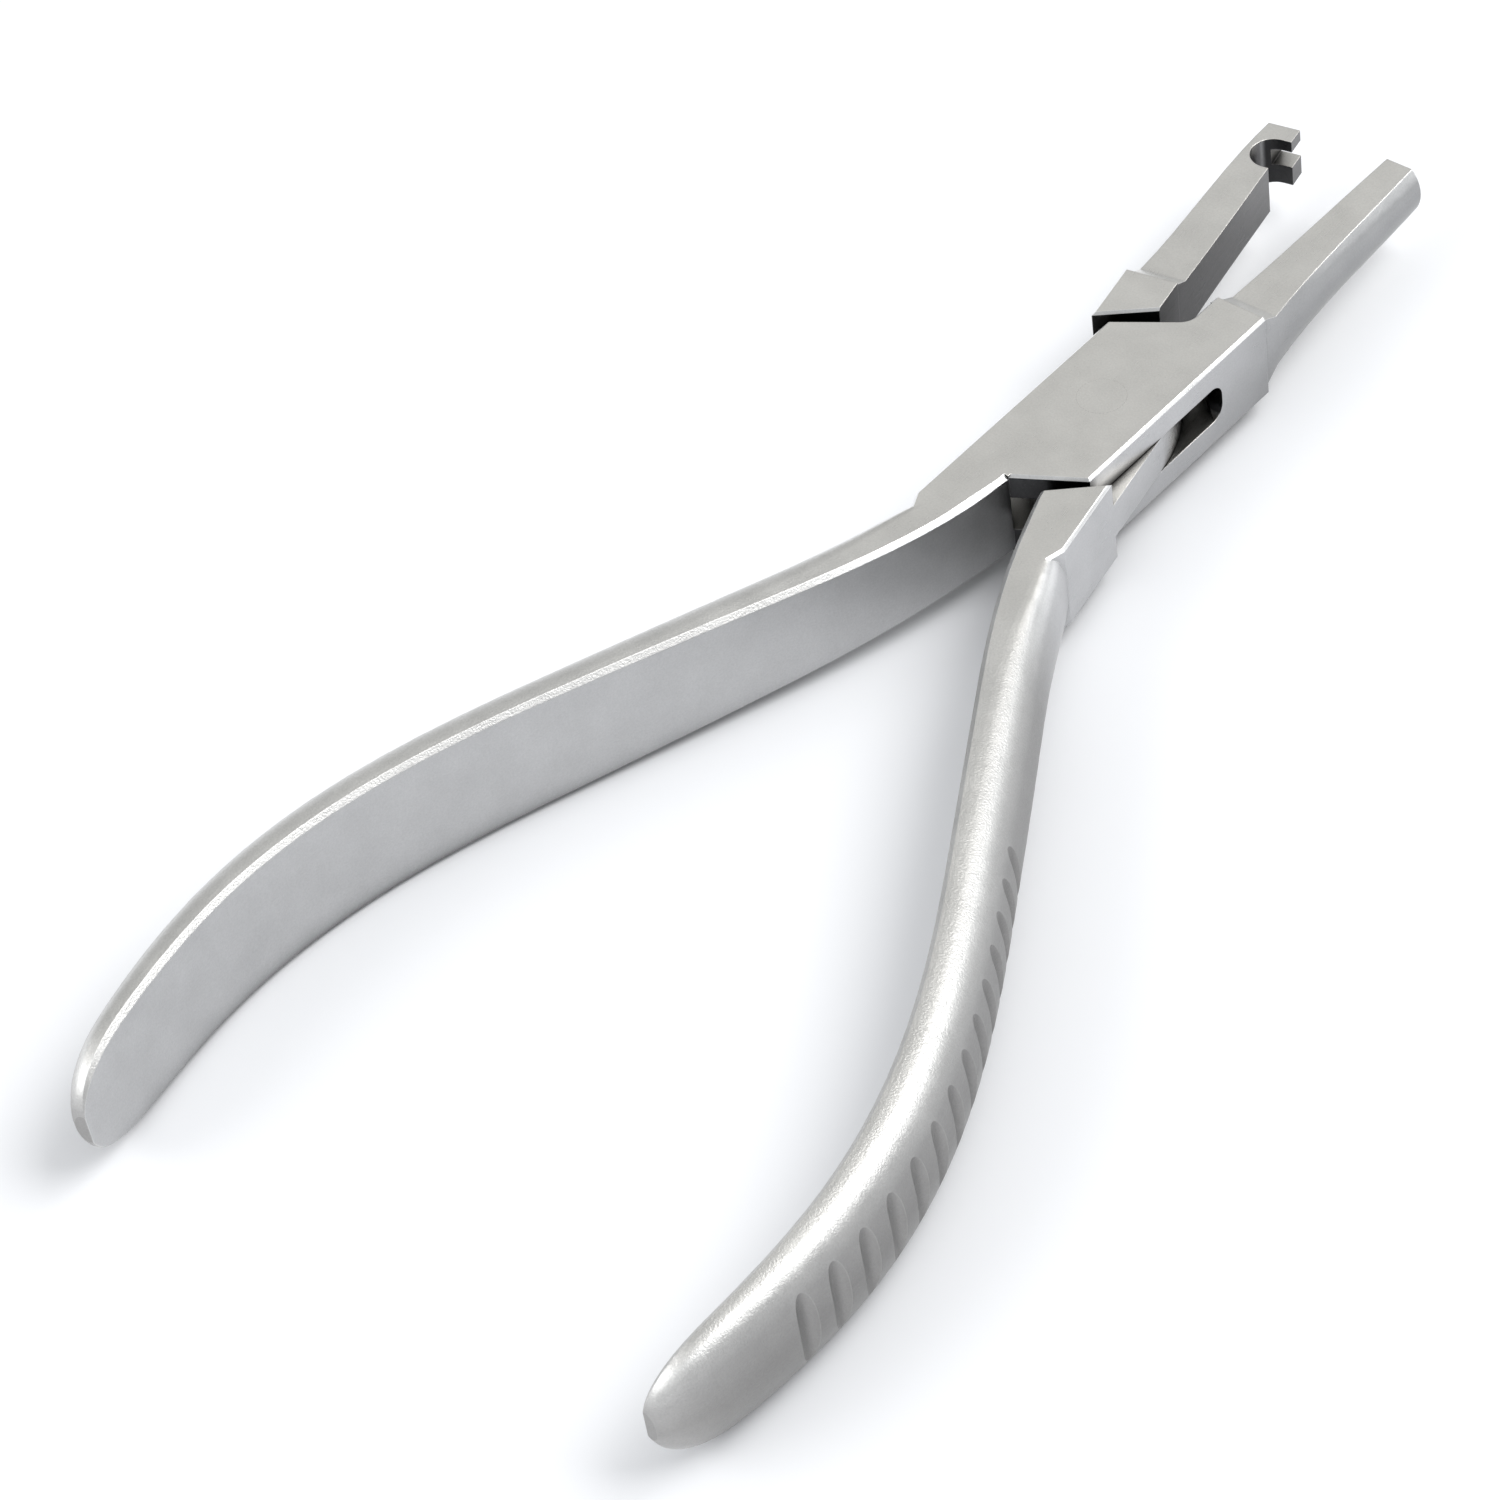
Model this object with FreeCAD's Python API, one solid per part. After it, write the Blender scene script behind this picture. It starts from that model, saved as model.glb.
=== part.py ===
import FreeCAD
import Part
import math
import os

# Crimping pliers with a box joint, lying flat.
# Frame: origin on the pivot axis, level with the outer face of the lower cheek.
# +Y runs along the bisector of the two halves towards the jaws, +Z is the pivot axis.
# Each half is drawn closed, with its jaw face beside the Y axis, then turned open.

HALF_OPEN = 5.73          # each half is turned this far from closed, degrees

BOX_W = 10.3              # width of the box across the cheeks
BOX_T = 8.0               # thickness over both cheeks
CHEEK_T = 2.3             # one cheek
TONGUE_GAP = 0.08         # tongue to cheek, each side
PIN_R = 2.0
PIN_PRESS = 0.005         # cheek bores are this much under the pin
PIN_RUN = 0.04            # tongue bore is this much over the pin

EDGE = 0.22               # broken edge on the box and jaws
JAW_FACE = 0.35           # female jaw face to the centre line
JAW_TIP_Y = 37.5
PRONG_FACE = 0.4          # prong ends to the centre line
STRIP_FACE = 0.75         # recessed face behind the prongs
JAW_ROOT_T = 5.0          # jaw thickness just in front of the box
JAW_TIP_T = 4.5
HOLE_R = 1.88
HOLE_X = 1.25
HOLE_Y = 33.9
PRONG_SLOT_LOW = 3.6      # cross slot through the front wall
PRONG_SLOT_HIGH = 5.2

HANDLE_END_Y = -97.1
END_POWER = 2.5           # roundness of the handle's end, 2 is an ellipse
GROOVES = 14
GROOVE_FIRST_Y = -46.2
GROOVE_PITCH = 3.1
GROOVE_R = 1.05
GROOVE_DEPTH = 0.55

HALF_W = BOX_W / 2
MID_Z = BOX_T / 2
SLOT_LOW = CHEEK_T
SLOT_HIGH = BOX_T - CHEEK_T
UP = FreeCAD.Vector(0, 0, 1)


def vec(x, y, z=0.0):
    return FreeCAD.Vector(x, y, z)


def spline(points):
    curve = Part.BSplineCurve()
    curve.interpolate([vec(*p) for p in points])
    return curve


def prism(edges, low, high):
    wire = Part.Wire([e.copy() for e in edges])
    wire.translate(vec(0, 0, low))
    return Part.Face(wire).extrude(vec(0, 0, high - low))


def polygon(points):
    ring = [vec(*p) for p in points]
    return [Part.makeLine(a, b) for a, b in zip(ring, ring[1:] + ring[:1])]


def arc(start, middle, end):
    return Part.Arc(vec(*start), vec(*middle), vec(*end)).toShape()


def line(start, end):
    return Part.makeLine(vec(*start), vec(*end))


def half_turn(shape):
    turned = shape.copy()
    turned.rotate(vec(0, 0), UP, 180)
    return turned


def mirror_x(shape):
    return shape.mirror(vec(0, 0), vec(1, 0))


# --- handles ---------------------------------------------------------------

# Inner face of the right-hand handle in plan, from the joint to the end.
INNER = [
    (0.35, -11.0), (1.45, -18.0), (4.1, -27.3), (7.35, -36.0), (10.6, -44.5),
    (13.8, -53.0), (16.5, -61.5), (18.2, -70.0), (18.55, -78.3), (17.4, -87.0),
    (14.85, HANDLE_END_Y),
]
INNER_CURVE = spline(INNER)

# Height, thickness and width of the flat top, along Y.
PROFILE = [
    (-14.6, 7.90, 3.2, 1.9), (-17.8, 8.00, 4.0, 2.4), (-24.0, 8.60, 4.4, 2.0),
    (-37.0, 10.0, 4.45, 1.1), (-55.0, 11.1, 4.3, 0.8), (-70.0, 11.3, 4.15, 0.8),
    (-79.0, 11.1, 3.8, 0.8), (-86.0, 10.7, 3.4, 0.8), (-91.5, 10.2, 3.0, 0.8),
    (HANDLE_END_Y, 9.6, 2.6, 0.7),
]
SIZE_CURVE = spline([(y, height, thick) for y, height, thick, _ in PROFILE])
FLAT_CURVE = spline([(y, flat) for y, _, _, flat in PROFILE])
FULLNESS = 2.2            # exponent of the rounded back, 2 is an ellipse
INNER_BEVEL = 0.4         # bevel along the inner face's edges
BEVEL_ROOT_YS = (-11.25, -13.0)   # the bevel on the full-height blocks
END_ROUND_Y = -90.0       # the end starts to round off here


def parameter_at(curve, axis, value):
    """Parameter where a curve that falls along the axis reaches the value."""
    low, high = curve.FirstParameter, curve.LastParameter
    for _ in range(50):
        mid = (low + high) / 2
        if curve.value(mid)[axis] > value:
            low = mid
        else:
            high = mid
    return low


def inner_at(y):
    """Point on the inner face in plan, and the direction out to the rounded back."""
    spot = parameter_at(INNER_CURVE, 1, y)
    run = INNER_CURVE.tangent(spot)[0]
    return INNER_CURVE.value(spot), vec(-run.y, run.x).normalize()


def profile_at(y):
    """Height, thickness, flat top and the share of the full size left by the rounded end."""
    size = SIZE_CURVE.value(parameter_at(SIZE_CURVE, 0, y))
    flat = FLAT_CURVE.value(parameter_at(FLAT_CURVE, 0, y)).y
    past = max((END_ROUND_Y - y) / (END_ROUND_Y - HANDLE_END_Y), 0)
    share = (1 - past ** END_POWER) ** (1 / END_POWER)
    return size.y * share, size.z * (0.2 + 0.8 * share), flat * share, share


def stations():
    """Y of each section: close together at the joint and over the rounded end."""
    near = [-14.6, -16.2, -17.8, -20.4]
    along = [-24.0 - 5.5 * step for step in range(13)]
    end = [END_ROUND_Y + (HANDLE_END_Y - END_ROUND_Y) * math.sin(math.radians(turn))
           for turn in (17, 33, 48, 61, 71, 79)]
    return near + along + end


def dome_section(y):
    height, thick, flat, _ = profile_at(y)
    origin, outward = inner_at(y)
    origin = origin + vec(0, 0, MID_Z)
    half = height / 2
    bulge = thick - flat
    points = []
    for step in range(13):
        turn = math.radians(90 - 15 * step)
        side = max(math.cos(turn), 0.0) ** (2 / FULLNESS)
        rise = math.copysign(abs(math.sin(turn)) ** (2 / FULLNESS), math.sin(turn))
        points.append(origin + outward * (flat + bulge * side) + UP * (half * rise))
    dome = Part.BSplineCurve()
    dome.interpolate(points)
    back = origin - outward * 0.8
    top, bottom = back + UP * half, back - UP * half
    return Part.Wire([
        Part.makeLine(bottom, top),
        Part.makeLine(top, points[0]),
        dome.toShape(),
        Part.makeLine(points[-1], bottom),
    ])


def inner_cut_section(y, flat_height):
    origin, outward = inner_at(y)
    origin = origin + vec(0, 0, MID_Z)
    half = flat_height / 2
    reach = 4.0
    ring = [
        origin - outward * reach - UP * (half + reach),
        origin - outward * reach + UP * (half + reach),
        origin + outward * reach + UP * (half + reach),
        origin + UP * half,
        origin - UP * half,
        origin + outward * reach - UP * (half + reach),
    ]
    return Part.makePolygon(ring + ring[:1])


def handle_blank():
    return Part.makeLoft([dome_section(y) for y in stations()], True, False)


def inner_cutter():
    sections = [(y, BOX_T - 2 * INNER_BEVEL) for y in BEVEL_ROOT_YS]
    for y in stations():
        height, _, _, share = profile_at(y)
        sections.append((y, height - 2 * INNER_BEVEL * share))
    return Part.makeLoft([inner_cut_section(y, h) for y, h in sections], True, False)


def grooves():
    """Upright round-bottomed grip grooves across the back of the handle."""
    cutters = []
    y = GROOVE_FIRST_Y
    for _ in range(GROOVES):
        point, outward = inner_at(y)
        thick = profile_at(y)[1]
        centre = point + outward * (thick - GROOVE_DEPTH + GROOVE_R)
        cutters.append(Part.makeCylinder(GROOVE_R, 20, centre - UP * 6, UP))
        y -= GROOVE_PITCH * abs(outward.x)
    return Part.makeCompound(cutters)


def with_handle(block, side):
    """Join a full-height block to its handle and face the inside; side is 1 right, -1 left."""
    blank, cutter, grips = handle_blank(), inner_cutter(), grooves()
    if side < 0:
        blank, cutter, grips = mirror_x(blank), mirror_x(cutter), mirror_x(grips)
    return block.fuse(blank).cut(cutter).cut(grips)


# --- the joint -------------------------------------------------------------

REAR_SLOPE = 0.562        # rear edge of the cheeks and front edge of the shank
CHEEK_REAR = -8.1
SHANK_FRONT = -8.62
SHANK_END = -16.6
ROOT_Y = 14.4             # front of the box and of the shoulder
WINDOW_Y = 8.5            # front end of the side window
INNER_X = 0.36            # inner face where the handle leaves the joint
HEEL = (4.4, -18.2)       # rear corners of the right-hand block, inside the handle
TAIL = (1.2, -18.2)
WINDOW_DEPTH = 2.4
WINDOW_ROUND = 1.3


def broken(solid, skip):
    """Chamfer the level outline edges, except those centred on the points to skip."""
    picked = []
    for edge in solid.Edges:
        if edge.BoundBox.ZLength > 1e-6:
            continue
        middle = edge.valueAt((edge.FirstParameter + edge.LastParameter) / 2)
        if all(math.hypot(middle.x - x, middle.y - y) > 0.05 for x, y in skip):
            picked.append(edge)
    return solid.makeChamfer(EDGE, picked)


def middle_of(start, end):
    return ((start[0] + end[0]) / 2, (start[1] + end[1]) / 2)


def shank_block():
    """Full-height block behind the joint on the right-hand side."""
    nose = (INNER_X, SHANK_FRONT - REAR_SLOPE * (HALF_W - INNER_X))
    corner = (HALF_W, SHANK_FRONT)
    block = prism(polygon([nose, corner, (HALF_W, SHANK_END), HEEL, TAIL]), 0, BOX_T)
    return broken(block, [middle_of(HEEL, TAIL), middle_of(TAIL, nose)])


def cheek_block():
    """Outline of the box from the left-hand handle to the root of the plain jaw."""
    nose = (-INNER_X, CHEEK_REAR - REAR_SLOPE * (HALF_W + INNER_X))
    heel, tail = (-HEEL[0], HEEL[1]), (-TAIL[0], TAIL[1])
    root_in, root_out = (0.3, ROOT_Y), (HALF_W, ROOT_Y)
    block = prism([
        line(nose, tail), line(tail, heel),
        line(heel, (-HALF_W, SHANK_END)),
        line((-HALF_W, SHANK_END), (-HALF_W, 7.4)),
        line((-HALF_W, 7.4), (-0.386, 10.476)),
        arc((-0.386, 10.476), (0.12, 11.02), (0.3, 11.74)),
        line((0.3, 11.74), root_in), line(root_in, root_out),
        line(root_out, (HALF_W, CHEEK_REAR)), line((HALF_W, CHEEK_REAR), nose),
    ], 0, BOX_T)
    seat = middle_of((0.3, 11.74), root_in)
    return broken(block, [
        middle_of(heel, tail), middle_of(tail, nose), middle_of(root_in, root_out), seat])


def slot_solid():
    """Space through the box between the cheeks, and its round-ended side window."""
    far = 12
    slot = prism(polygon([
        (-far, -8.4), (-HALF_W, -8.4), (-0.3, -11.25), (far, -11.25),
        (far, 7.3), (HALF_W, 7.3), (0.3, 11.25), (-far, 11.25),
    ]), SLOT_LOW, SLOT_HIGH)
    inside = vec(HALF_W - WINDOW_DEPTH, 0, SLOT_LOW)
    window = Part.makeBox(far, WINDOW_Y, SLOT_HIGH - SLOT_LOW, inside)
    ends = [e for e in window.Edges if abs(e.BoundBox.YMin - WINDOW_Y) < 1e-6 and e.BoundBox.XLength > 1]
    return slot.fuse(window.makeFillet(WINDOW_ROUND, ends))


# --- the jaws --------------------------------------------------------------

SLOPE_OUTER = HALF_W - EDGE - 0.02   # slope starts just inside the box's broken edges


def jaw_section(y, face, outer, thick, bulge):
    """Flat face towards the centre line, level top and bottom, rounded back."""
    half = thick / 2
    low, high = (face, y, MID_Z - half), (face, y, MID_Z + half)
    out_high, out_low = (outer, y, MID_Z + half), (outer, y, MID_Z - half)
    return Part.Wire([
        line(low, high), line(high, out_high),
        arc(out_high, (outer + bulge, y, MID_Z), out_low), line(out_low, low),
    ])


def plain_jaw():
    """Tapered jaw with a flat face and a rounded back, and the slope up to the box."""
    root = jaw_section(ROOT_Y + 2.0, JAW_FACE, 4.65, JAW_ROOT_T, 0.3)
    slope = Part.makeLoft([
        jaw_section(ROOT_Y - 0.8, JAW_FACE, SLOPE_OUTER, BOX_T - 0.02, 0.05), root,
    ], True, True)
    blade = Part.makeLoft([
        root,
        jaw_section(21.0, JAW_FACE, 4.00, 4.70, 0.55),
        jaw_section(27.0, JAW_FACE, 3.50, 4.60, 0.70),
        jaw_section(JAW_TIP_Y, JAW_FACE, 2.85, JAW_TIP_T, 0.85),
    ], True, False)
    return slope.fuse(blade)


def hooked_jaw():
    """Jaw with an upright hole open towards the other jaw and a slotted front wall."""
    sides = [
        (ROOT_Y - 0.8, SLOPE_OUTER, BOX_T - 0.02), (ROOT_Y + 2.0, 4.80, JAW_ROOT_T),
        (21.0, 4.45, 4.70), (29.0, 4.08, 4.60), (JAW_TIP_Y, 3.26, JAW_TIP_T),
    ]
    rings = []
    for y, outer, thick in sides:
        low, high = MID_Z - thick / 2, MID_Z + thick / 2
        rings.append(Part.makePolygon([
            vec(-outer, y, low), vec(-outer, y, high), vec(0.5, y, high), vec(0.5, y, low),
            vec(-outer, y, low),
        ]))
    jaw = Part.makeLoft(rings[:2], True, True).fuse(Part.makeLoft(rings[1:], True, False))
    hole_rear = HOLE_Y - HOLE_R
    jaw = jaw.cut(prism(polygon([
        (3, 8), (-PRONG_FACE, 8), (-PRONG_FACE, ROOT_Y), (-STRIP_FACE, ROOT_Y + 0.3),
        (-STRIP_FACE, hole_rear), (-PRONG_FACE, hole_rear), (-PRONG_FACE, 45), (3, 45),
    ]), -5, 15))
    hole = Part.makeCylinder(HOLE_R, 20, vec(-HOLE_X, HOLE_Y, -5), UP)
    mouth = Part.makeBox(HOLE_X, 2 * HOLE_R, 20, vec(-HOLE_X, hole_rear, -5))
    cross = Part.makeBox(
        2.2, 10, PRONG_SLOT_HIGH - PRONG_SLOT_LOW, vec(-2.2, HOLE_Y + 0.8, PRONG_SLOT_LOW))
    return jaw.cut(hole).cut(mouth).cut(cross)


def shoulder():
    """Full-height block in front of the box that carries the hooked jaw."""
    root_out, root_in = (-HALF_W, ROOT_Y), (-PRONG_FACE, ROOT_Y)
    nose = (-PRONG_FACE, 11.0)
    block = prism(polygon([(-HALF_W, 8.5), nose, root_in, root_out]), 0, BOX_T)
    return broken(block, [middle_of(root_out, root_in), middle_of(nose, root_in)])


# --- the pieces ------------------------------------------------------------

def tongue():
    """Middle layer that passes through the box, the same after a half turn."""
    side = [
        line((0.55, -12.5), (HALF_W, -12.5)), line((HALF_W, -12.5), (HALF_W, 0)),
        arc((HALF_W, 0), (3.69, 6.11), (-0.35, 10.9)), line((-0.35, 10.9), (-0.55, 12.5)),
    ]
    outline = side + [half_turn(edge) for edge in side]
    return prism(outline, SLOT_LOW + TONGUE_GAP, SLOT_HIGH - TONGUE_GAP)


def female_half():
    """Left handle, both cheeks of the box and the plain right-hand jaw, closed pose."""
    body = with_handle(cheek_block(), -1).fuse(plain_jaw())
    bore = Part.makeCylinder(PIN_R - PIN_PRESS, 20, vec(0, 0, -5), UP)
    return body.cut(slot_solid()).cut(bore).removeSplitter()


def male_half():
    """Right handle, shank, tongue, shoulder and the hooked left-hand jaw, closed pose."""
    body = with_handle(shank_block(), 1).fuse(tongue())
    body = body.fuse(shoulder().fuse(hooked_jaw()))
    bore = Part.makeCylinder(PIN_R + PIN_RUN, 20, vec(0, 0, -5), UP)
    return body.cut(bore).removeSplitter()


def pivot_pin():
    return Part.makeCylinder(PIN_R, BOX_T, vec(0, 0), UP)


def export(name, shape, turn):
    placed = shape.copy()
    placed.rotate(vec(0, 0), UP, turn)
    placed.exportStep("parts/" + name + ".step")


os.makedirs("parts", exist_ok=True)
export("female_half", female_half(), -HALF_OPEN)
export("male_half", male_half(), HALF_OPEN)
export("pivot_pin", pivot_pin(), -HALF_OPEN)
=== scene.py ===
import math
import bpy
from mathutils import Matrix, Vector


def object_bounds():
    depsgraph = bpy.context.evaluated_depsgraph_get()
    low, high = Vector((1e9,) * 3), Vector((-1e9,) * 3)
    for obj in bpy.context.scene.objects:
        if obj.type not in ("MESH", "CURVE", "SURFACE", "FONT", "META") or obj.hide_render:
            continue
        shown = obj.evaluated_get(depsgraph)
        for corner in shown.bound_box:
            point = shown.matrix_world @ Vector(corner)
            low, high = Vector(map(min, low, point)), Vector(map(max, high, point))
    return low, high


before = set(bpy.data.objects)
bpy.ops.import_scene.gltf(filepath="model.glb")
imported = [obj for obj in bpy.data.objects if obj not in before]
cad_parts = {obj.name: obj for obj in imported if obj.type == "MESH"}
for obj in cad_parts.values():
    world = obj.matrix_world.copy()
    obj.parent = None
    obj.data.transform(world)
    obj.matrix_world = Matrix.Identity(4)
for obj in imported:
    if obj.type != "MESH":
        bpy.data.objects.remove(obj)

scene = bpy.context.scene
cad_box = [list(corner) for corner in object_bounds()]

HALF_OPEN = math.radians(5.73)   # each half is turned this far from closed
MM_PER_METRE = 1000.0

# Masks by place, in millimetres on the closed tool, counted from the pin's axis and the lower cheek.
# The first number of a pair is where the mask is nil and the second is where it is full.
INNER_BEHIND = (11, 13)
HANDLE_BEHIND = (17, 32)
JAW_AHEAD = (10, 11)
PAINTED_SHADE_BEHIND = (20, 19)
TONGUE_BEHIND = (5, 6)
TONGUE_ACROSS = (-0.3, 0.1)
FORWARD_SHADE_AHEAD = (2, 20)
LOW_BEHIND = (10, 5)
LOW_HEIGHT = (6, 1)
CLEAR_OF_PIN = (2.4, 3.0)

# Masks by the way a face looks, on parts of its normal: nil at the first number, full at the second.
LOOKS_ACROSS = (0.80, 0.90)
LOOKS_BACK = (0.55, 0.75)
FLANK = (0.62, 0.35)
REAR_END = (-0.10, -0.75)

# Tones by the size of the normal's upward part, which is 0 on a side and 1 on a level face. They are
# painted light and shade: a painted highlight on faces tilted about halfway, where the highlight falls
# on chamfers and the handle's dome, and painted shade on the handle's sides.
BLOCK_PAINTED_LIGHT_TONES = [
    (0.0, (0.53, 0.53, 0.535)), (0.35, (0.56, 0.56, 0.56)), (0.62, (0.92, 0.92, 0.91)),
    (0.80, (0.92, 0.92, 0.91)), (0.95, (0.63, 0.615, 0.58)),
]
HANDLE_PAINTED_LIGHT_TONES = [
    (0.0, (0.27, 0.265, 0.26)), (0.30, (0.33, 0.325, 0.32)), (0.58, (0.50, 0.495, 0.485)),
    (0.80, (0.72, 0.715, 0.70)), (0.93, (0.66, 0.65, 0.63)), (0.995, (0.60, 0.59, 0.565)),
]
INNER_GREY = (0.52, 0.52, 0.522, 1.0)
# Painted shade on the jaw's working face, which the other jaw shades.
JAW_PAINTED_SHADE_GREY = (0.27, 0.265, 0.265, 1.0)
# Painted shade on faces in shadow in the box joint.
PAINTED_SHADE_GREY = (0.08, 0.08, 0.082, 1.0)

# What a full mask does to the tone, as a factor: painted shade on the sides from the box forward and low
# down, and painted light on what looks back on the handle.
FORWARD_PAINTED_SHADE = 0.66
LOW_PAINTED_SHADE = 0.82
REAR_END_PAINTED_LIGHT = 1.40

# Noise on millimetres: scale, detail and roughness.
SCRATCHES = (1.0, 4.0, 0.6)
SPECKLE = (6.0, 3.0, 0.65)
BLOTCHES = (0.28, 3.0, 0.55)
ALONG_LENGTH = (9.0, 0.35, 9.0)   # draws the scratches out along Y

# The part of a noise's range that is used, then what that part is spread over: the roughness, an
# addition to it, or a factor on the tone.
SCRATCH_SPREAD = (0.25, 0.75)
NOISE_SPREAD = (0.3, 0.7)
SCRATCH_ROUGHNESS = (0.26, 0.38)
BLOTCH_ROUGHNESS = (-0.03, 0.03)
BLOTCH_SHADE = (0.95, 1.05)
SPECKLE_SHADE = (0.94, 1.06)
HANDLE_ROUGHNESS = 0.10           # added on the handle and its inner face

# Relief: its depth in metres, its strength, and how much of each noise goes into it.
RELIEF_DEPTH = 0.00004
RELIEF_STRENGTH = 0.5
SCRATCH_RELIEF = 0.15
SPECKLE_RELIEF = 0.4
HANDLE_RELIEF = 2.2               # added to the speckle's share on the handle

# Edges: rounding in metres, then the agreement of the round and flat normals and the painted highlight
# for it, a factor that brightens the tone at edges.
EDGE_ROUNDING = 0.00013
EDGE_SAMPLES = 6
EDGE_AGREEMENT = (0.90, 0.995)
EDGE_PAINTED_HIGHLIGHT = (1.35, 1.0)

# Painted shade in closed-in places: reach in metres, the openness that is darkest and the one that is
# clear, and the factor at the darkest.
RECESS_PAINTED_SHADE = (0.004, (0.20, 0.80), 0.22)
GROOVE_PAINTED_SHADE = (0.0012, (0.55, 0.93), 0.30)
OPENNESS_SAMPLES = 8

# Stage.
FLOOR_SIZE = 6.0
PAPER_WHITE = (0.90, 0.905, 0.92, 1.0)
SKY_WHITE = (0.96, 0.98, 1.0, 1.0)
SKY_STRENGTH = 0.64
LAMPS_AIM = (0, -0.02, 0)

# Camera, fitted to the edges of the object in the photograph: place and nearest distance in metres,
# angles in radians, sensor and lens in millimetres.
CAMERA_PLACE = (0.151584, -0.213273, 0.241095)
CAMERA_YAW = -0.73962
CAMERA_PITCH = 0.79625
CAMERA_ROLL = -0.17003
SENSOR_WIDTH = 36.0
LENS = 106.94
NEAREST = 0.01


# --- node helpers ----------------------------------------------------------

def new_material(name):
    material = bpy.data.materials.new(name)
    material.use_nodes = True
    tree = material.node_tree
    return material, tree, tree.nodes["Principled BSDF"]


def add(tree, kind, **settings):
    node = tree.nodes.new(kind)
    for key, value in settings.items():
        setattr(node, key, value)
    return node


def feed(tree, value, socket):
    """Link an output to the socket, or set the socket to a plain value."""
    if isinstance(value, bpy.types.NodeSocket):
        tree.links.new(value, socket)
    else:
        socket.default_value = value


def maths(tree, operation, a, b=None, clamp=False):
    """Math node on one or two outputs or numbers."""
    node = add(tree, "ShaderNodeMath", operation=operation, use_clamp=clamp)
    feed(tree, a, node.inputs[0])
    if b is not None:
        feed(tree, b, node.inputs[1])
    return node.outputs[0]


def product(tree, first, *others):
    for other in others:
        first = maths(tree, "MULTIPLY", first, other)
    return first


def negative(tree, value):
    return maths(tree, "MULTIPLY", value, -1.0)


def step(tree, value, ends):
    """0 at the first end, 1 at the second, smooth between; either end may be the larger."""
    node = add(tree, "ShaderNodeMapRange", interpolation_type="SMOOTHSTEP")
    feed(tree, value, node.inputs["Value"])
    feed(tree, ends[0], node.inputs["From Min"])
    feed(tree, ends[1], node.inputs["From Max"])
    return node.outputs["Result"]


def span(tree, value, ends, results):
    """Straight change from the first result to the second between the ends, held beyond them."""
    node = add(tree, "ShaderNodeMapRange")
    feed(tree, value, node.inputs["Value"])
    for name, number in zip(("From Min", "From Max", "To Min", "To Max"), (*ends, *results)):
        feed(tree, number, node.inputs[name])
    return node.outputs["Result"]


def within(tree, mask, factor):
    """1 where the mask is nil and the factor where it is full."""
    return span(tree, mask, (0, 1), (1.0, factor))


def split(tree, vector):
    node = add(tree, "ShaderNodeSeparateXYZ")
    feed(tree, vector, node.inputs[0])
    return node.outputs


def scaled(tree, vector, size):
    node = add(tree, "ShaderNodeVectorMath", operation="SCALE")
    feed(tree, vector, node.inputs[0])
    feed(tree, size, node.inputs["Scale"])
    return node.outputs["Vector"]


def noise(tree, vector, scale, detail, roughness):
    node = add(tree, "ShaderNodeTexNoise")
    feed(tree, vector, node.inputs["Vector"])
    feed(tree, scale, node.inputs["Scale"])
    feed(tree, detail, node.inputs["Detail"])
    feed(tree, roughness, node.inputs["Roughness"])
    return node.outputs["Fac"]


def stretched(tree, vector, scale):
    node = add(tree, "ShaderNodeMapping")
    feed(tree, vector, node.inputs["Vector"])
    feed(tree, scale, node.inputs["Scale"])
    return node.outputs["Vector"]


def ramp(tree, value, stops):
    """Colour ramp; stops are (position, colour)."""
    node = add(tree, "ShaderNodeValToRGB")
    feed(tree, value, node.inputs["Fac"])
    points = node.color_ramp.elements
    while len(points) < len(stops):
        points.new(0.5)
    for point, (position, colour) in zip(points, stops):
        point.position = position
        point.color = (*colour, 1.0)
    return node.outputs["Color"]


def mix_colour(tree, mask, nil, full):
    node = add(tree, "ShaderNodeMix", data_type="RGBA")
    feed(tree, mask, node.inputs["Factor"])
    feed(tree, nil, node.inputs[6])
    feed(tree, full, node.inputs[7])
    return node.outputs[2]


# --- steel -----------------------------------------------------------------

def closed_pose(tree, turn):
    """Position in millimetres, and normal, both turned back to the half's closed pose."""
    source = add(tree, "ShaderNodeTexCoord")
    vectors = []
    for out, size in ((source.outputs["Object"], MM_PER_METRE), (source.outputs["Normal"], 1.0)):
        spin = add(tree, "ShaderNodeVectorRotate", rotation_type="Z_AXIS")
        feed(tree, out, spin.inputs["Vector"])
        feed(tree, -turn, spin.inputs["Angle"])
        vectors.append(scaled(tree, spin.outputs["Vector"], size))
    return vectors


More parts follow.
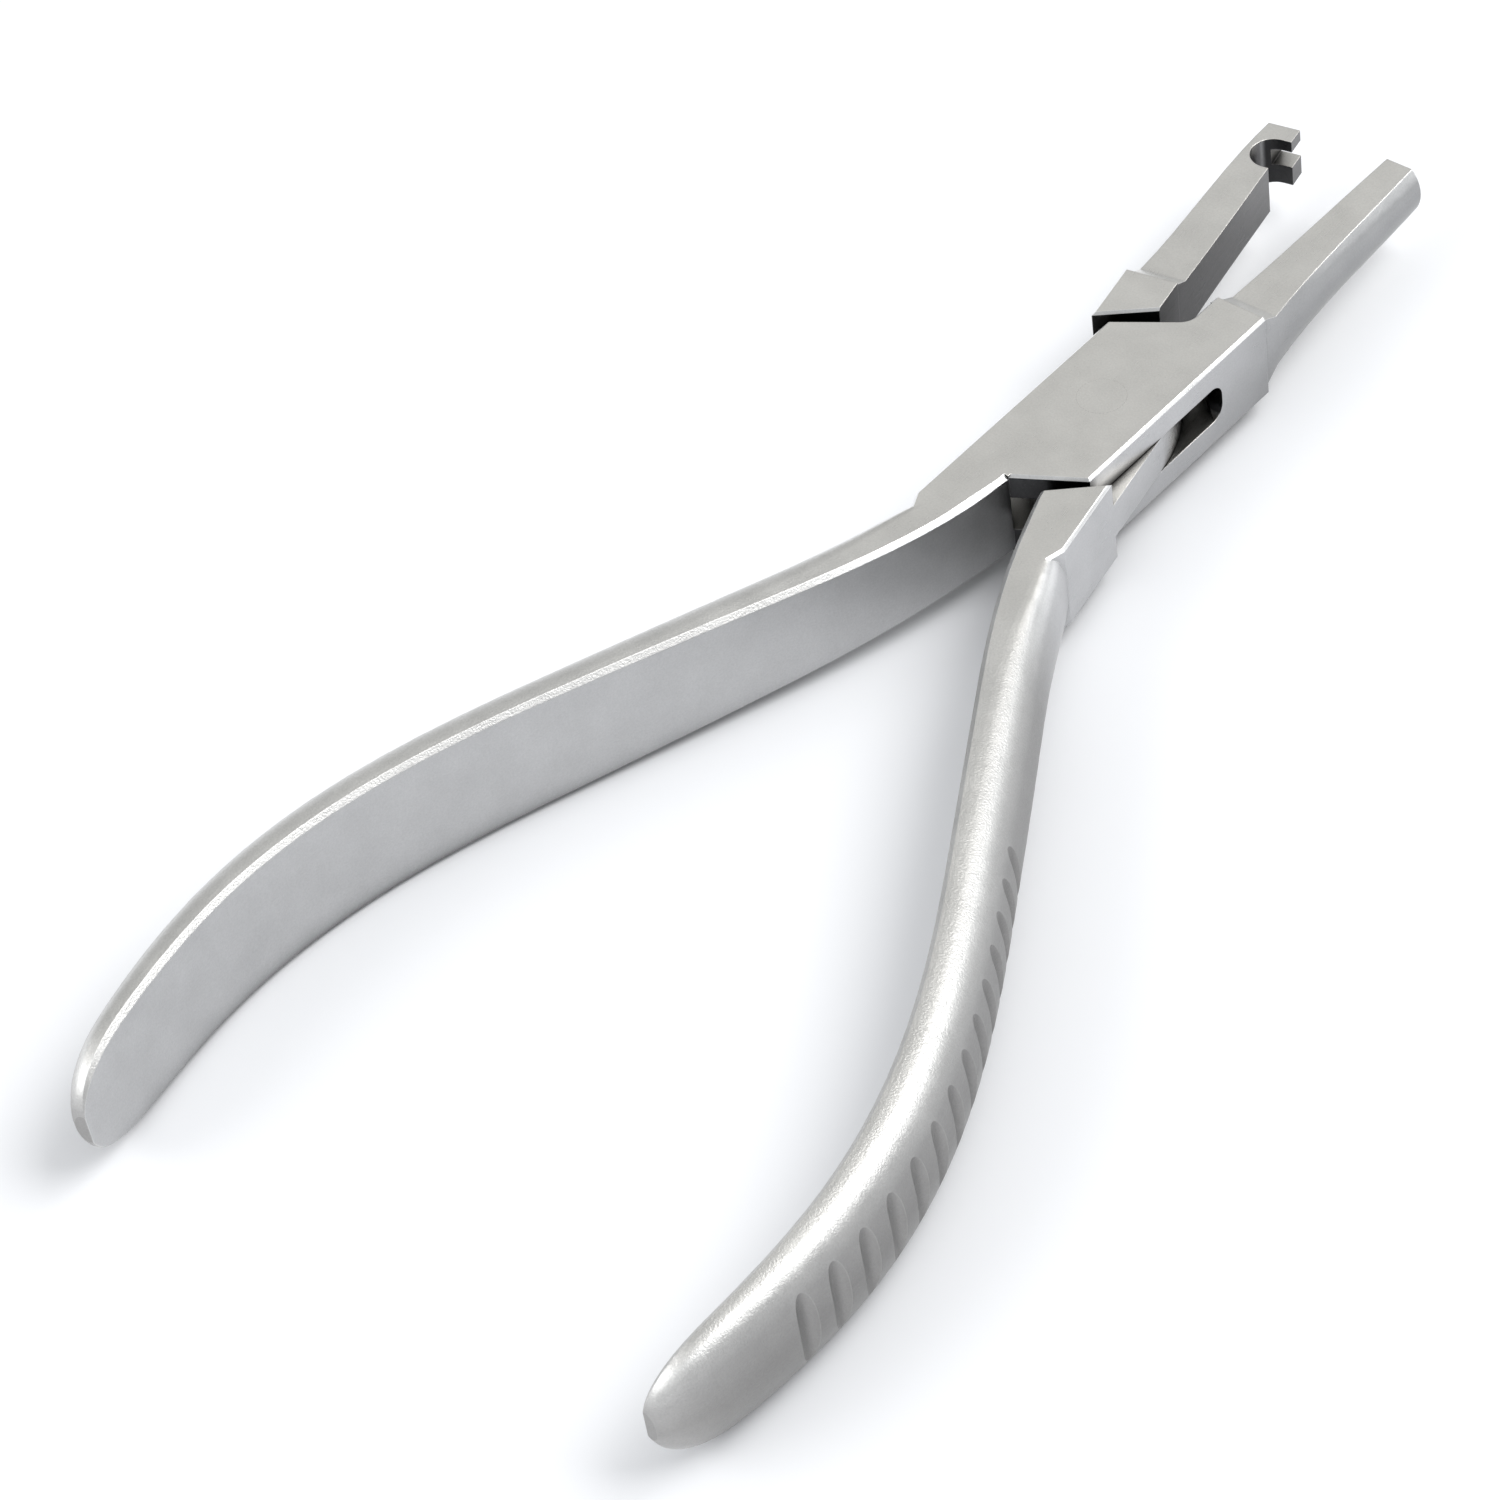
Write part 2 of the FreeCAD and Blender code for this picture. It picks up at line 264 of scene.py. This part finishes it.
def masks(tree, place, facing, inner_side):
    """The handle's flat inner face, the rest of the handle, the jaw's working face, and faces in shadow
    that get painted shade.
    """
    behind = negative(tree, place["Y"])
    inward = step(tree, maths(tree, "MULTIPLY", facing["X"], inner_side), LOOKS_ACROSS)
    outward = step(tree, maths(tree, "MULTIPLY", facing["X"], -inner_side), LOOKS_ACROSS)
    inner = product(tree, inward, step(tree, behind, INNER_BEHIND))
    handle = maths(tree, "SUBTRACT", step(tree, behind, HANDLE_BEHIND), inner, clamp=True)
    # Painted shade goes on the jaw's working face, where the other jaw shades it.
    jaw = product(tree, outward, step(tree, place["Y"], JAW_AHEAD))

    # Painted shade: what looks back ahead of the handle, and on the male half the tongue where it leaves
    # the box, both of which sit in shadow in the box joint.
    rearward = step(tree, negative(tree, facing["Y"]), LOOKS_BACK)
    painted_shade_faces = product(tree, rearward, step(tree, behind, PAINTED_SHADE_BEHIND))
    if inner_side < 0:
        across = step(tree, negative(tree, place["X"]), TONGUE_ACROSS)
        tongue = product(tree, across, step(tree, behind, TONGUE_BEHIND))
        painted_shade_faces = maths(tree, "MAXIMUM", painted_shade_faces, tongue)
    return inner, handle, jaw, painted_shade_faces


def side_shades(tree, place, facing, upward, handle):
    """Factors of painted shade for the sides, which darken from the box forward and low down there as
    well, and of painted light for what looks back on the handle, which is made brighter."""
    flank = step(tree, upward, FLANK)
    forward_painted_shade = product(tree, flank, step(tree, place["Y"], FORWARD_SHADE_AHEAD))
    from_box_forward = product(tree, flank, step(tree, negative(tree, place["Y"]), LOW_BEHIND))
    low_painted_shade = product(tree, from_box_forward, step(tree, place["Z"], LOW_HEIGHT))
    # Painted light: what looks back on the handle is made brighter.
    rear_end_painted_light = product(tree, handle, step(tree, facing["Y"], REAR_END))
    return (
        within(tree, forward_painted_shade, FORWARD_PAINTED_SHADE),
        within(tree, low_painted_shade, LOW_PAINTED_SHADE),
        within(tree, rear_end_painted_light, REAR_END_PAINTED_LIGHT))


def edges(tree, place):
    """Normal with a hair of rounding at edges, and the factor that brightens them as a painted
    highlight.
    Neither acts near the pin, which is ground flush and doesn't show."""
    plan = add(tree, "ShaderNodeCombineXYZ")
    feed(tree, place["X"], plan.inputs["X"])
    feed(tree, place["Y"], plan.inputs["Y"])
    from_pin = add(tree, "ShaderNodeVectorMath", operation="LENGTH")
    feed(tree, plan.outputs["Vector"], from_pin.inputs[0])
    soft = add(tree, "ShaderNodeBevel", samples=EDGE_SAMPLES)
    feed(tree, EDGE_ROUNDING, soft.inputs["Radius"])
    face = add(tree, "ShaderNodeNewGeometry")
    rounded = add(tree, "ShaderNodeMix", data_type="VECTOR")
    feed(tree, step(tree, from_pin.outputs["Value"], CLEAR_OF_PIN), rounded.inputs[0])
    feed(tree, face.outputs["Normal"], rounded.inputs[4])
    feed(tree, soft.outputs["Normal"], rounded.inputs[5])
    agreement = add(tree, "ShaderNodeVectorMath", operation="DOT_PRODUCT")
    feed(tree, rounded.outputs[1], agreement.inputs[0])
    feed(tree, face.outputs["Normal"], agreement.inputs[1])
    return rounded.outputs[1], span(tree, agreement.outputs["Value"], EDGE_AGREEMENT, EDGE_PAINTED_HIGHLIGHT)


def hollow_painted_shade(tree, reach, openness, darkest):
    """Factor of painted shade that darkens places closed in within the reach."""
    node = add(tree, "ShaderNodeAmbientOcclusion", samples=OPENNESS_SAMPLES)
    feed(tree, reach, node.inputs["Distance"])
    return span(tree, node.outputs["AO"], openness, (darkest, 1.0))


def steel(name, turn, inner_side):
    """Satin steel of a half turned by turn from closed; inner_side is +1 or -1, the way along X
    that the handle's flat inner face looks."""
    material, tree, shader = new_material(name)
    spot, normal = closed_pose(tree, turn)
    place = split(tree, spot)
    facing = split(tree, normal)
    upward = maths(tree, "ABSOLUTE", facing["Z"])
    inner, handle, jaw, painted_shade_faces = masks(tree, place, facing, inner_side)
    edge_normal, edge_painted_highlight = edges(tree, place)

    scratches = noise(tree, stretched(tree, spot, ALONG_LENGTH), *SCRATCHES)
    speckle = noise(tree, spot, *SPECKLE)
    blotches = noise(tree, spot, *BLOTCHES)

    # Painted highlight and painted shade by how far a face looks up.
    block_painted_light = ramp(tree, upward, BLOCK_PAINTED_LIGHT_TONES)
    colour = mix_colour(tree, handle, block_painted_light, ramp(tree, upward, HANDLE_PAINTED_LIGHT_TONES))
    # The inner face keeps its own grey; the jaw's working face and faces in shadow get painted shade.
    for mask, grey in ((inner, INNER_GREY), (jaw, JAW_PAINTED_SHADE_GREY), (painted_shade_faces, PAINTED_SHADE_GREY)):
        colour = mix_colour(tree, mask, colour, grey)
    # Random tone from the noises, times painted shade on the sides, painted light on the handle's rear
    # end, painted highlights on edges and painted shade in closed-in places.
    shade = product(
        tree,
        span(tree, blotches, NOISE_SPREAD, BLOTCH_SHADE),
        span(tree, speckle, NOISE_SPREAD, SPECKLE_SHADE),
        *side_shades(tree, place, facing, upward, handle),
        edge_painted_highlight,
        hollow_painted_shade(tree, *RECESS_PAINTED_SHADE),
        hollow_painted_shade(tree, *GROOVE_PAINTED_SHADE))
    feed(tree, scaled(tree, colour, shade), shader.inputs["Base Color"])

    handle_rough = product(tree, maths(tree, "ADD", inner, handle), HANDLE_ROUGHNESS)
    rough = maths(tree, "ADD", span(tree, scratches, SCRATCH_SPREAD, SCRATCH_ROUGHNESS), handle_rough)
    rough = maths(tree, "ADD", rough, span(tree, blotches, NOISE_SPREAD, BLOTCH_ROUGHNESS))
    feed(tree, rough, shader.inputs["Roughness"])

    satin = maths(tree, "ADD", product(tree, handle, HANDLE_RELIEF), SPECKLE_RELIEF)
    fine_scratches = product(tree, scratches, SCRATCH_RELIEF)
    bump = add(tree, "ShaderNodeBump")
    feed(tree, edge_normal, bump.inputs["Normal"])
    feed(tree, RELIEF_STRENGTH, bump.inputs["Strength"])
    feed(tree, RELIEF_DEPTH, bump.inputs["Distance"])
    feed(tree, maths(tree, "ADD", fine_scratches, product(tree, speckle, satin)), bump.inputs["Height"])
    feed(tree, bump.outputs["Normal"], shader.inputs["Normal"])

    shader.inputs["Metallic"].default_value = 1.0
    return material


def dress(node, material):
    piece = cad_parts[node]
    piece.data.materials.clear()
    piece.data.materials.append(material)


dress("female_half", steel("female_steel", -HALF_OPEN, 1))
dress("male_half", steel("male_steel", HALF_OPEN, -1))
dress("pivot_pin", steel("pin_steel", -HALF_OPEN, 1))


# --- floor, light and camera -------------------------------------------------

def lay_floor():
    """White paper at the level of the object's lowest point."""
    floor_z = cad_box[0][2]
    bpy.ops.mesh.primitive_plane_add(size=FLOOR_SIZE, location=(0, 0, floor_z))
    floor = bpy.context.object
    floor.name = "floor"
    paper, _, shader = new_material("paper")
    shader.inputs["Base Color"].default_value = PAPER_WHITE
    shader.inputs["Roughness"].default_value = 0.9
    shader.inputs["Specular IOR Level"].default_value = 0.1
    floor.data.materials.append(paper)


def light_sky():
    world = bpy.data.worlds.new("studio")
    scene.world = world
    world.use_nodes = True
    sky = world.node_tree.nodes["Background"]
    sky.inputs["Color"].default_value = SKY_WHITE
    sky.inputs["Strength"].default_value = SKY_STRENGTH


def softbox(name, place, size, power):
    light = bpy.data.lights.new(name, "AREA")
    light.shape = "RECTANGLE"
    light.size, light.size_y = size
    light.energy = power
    lamp = bpy.data.objects.new(name, light)
    scene.collection.objects.link(lamp)
    lamp.location = place
    aim = Vector(LAMPS_AIM) - Vector(place)
    lamp.rotation_euler = aim.to_track_quat("-Z", "Y").to_euler()


def place_camera():
    """Camera from its yaw about Z, its pitch below level and its roll about the line of sight."""
    data = bpy.data.cameras.new("camera")
    data.sensor_width = SENSOR_WIDTH
    data.lens = LENS
    data.clip_start = NEAREST
    camera = bpy.data.objects.new("camera", data)
    scene.collection.objects.link(camera)
    level = math.cos(CAMERA_PITCH)
    ahead = Vector((math.sin(CAMERA_YAW) * level, math.cos(CAMERA_YAW) * level, -math.sin(CAMERA_PITCH)))
    right = Vector((math.cos(CAMERA_YAW), -math.sin(CAMERA_YAW), 0.0))
    above = right.cross(ahead)
    across = math.cos(CAMERA_ROLL) * right + math.sin(CAMERA_ROLL) * above
    up = math.cos(CAMERA_ROLL) * above - math.sin(CAMERA_ROLL) * right
    rows = [(across[i], up[i], -ahead[i], CAMERA_PLACE[i]) for i in range(3)]
    camera.matrix_world = Matrix((*rows, (0.0, 0.0, 0.0, 1.0)))
    scene.camera = camera


lay_floor()
light_sky()
softbox("overhead_box", (0.42, 0.36, 0.78), (0.75, 0.55), 6.2)
softbox("back_box", (-0.55, 0.62, 0.85), (0.9, 0.8), 0.45)
softbox("near_box", (-0.50, -0.62, 0.60), (0.5, 0.4), 2.0)
place_camera()
scene.view_settings.view_transform = "Standard"
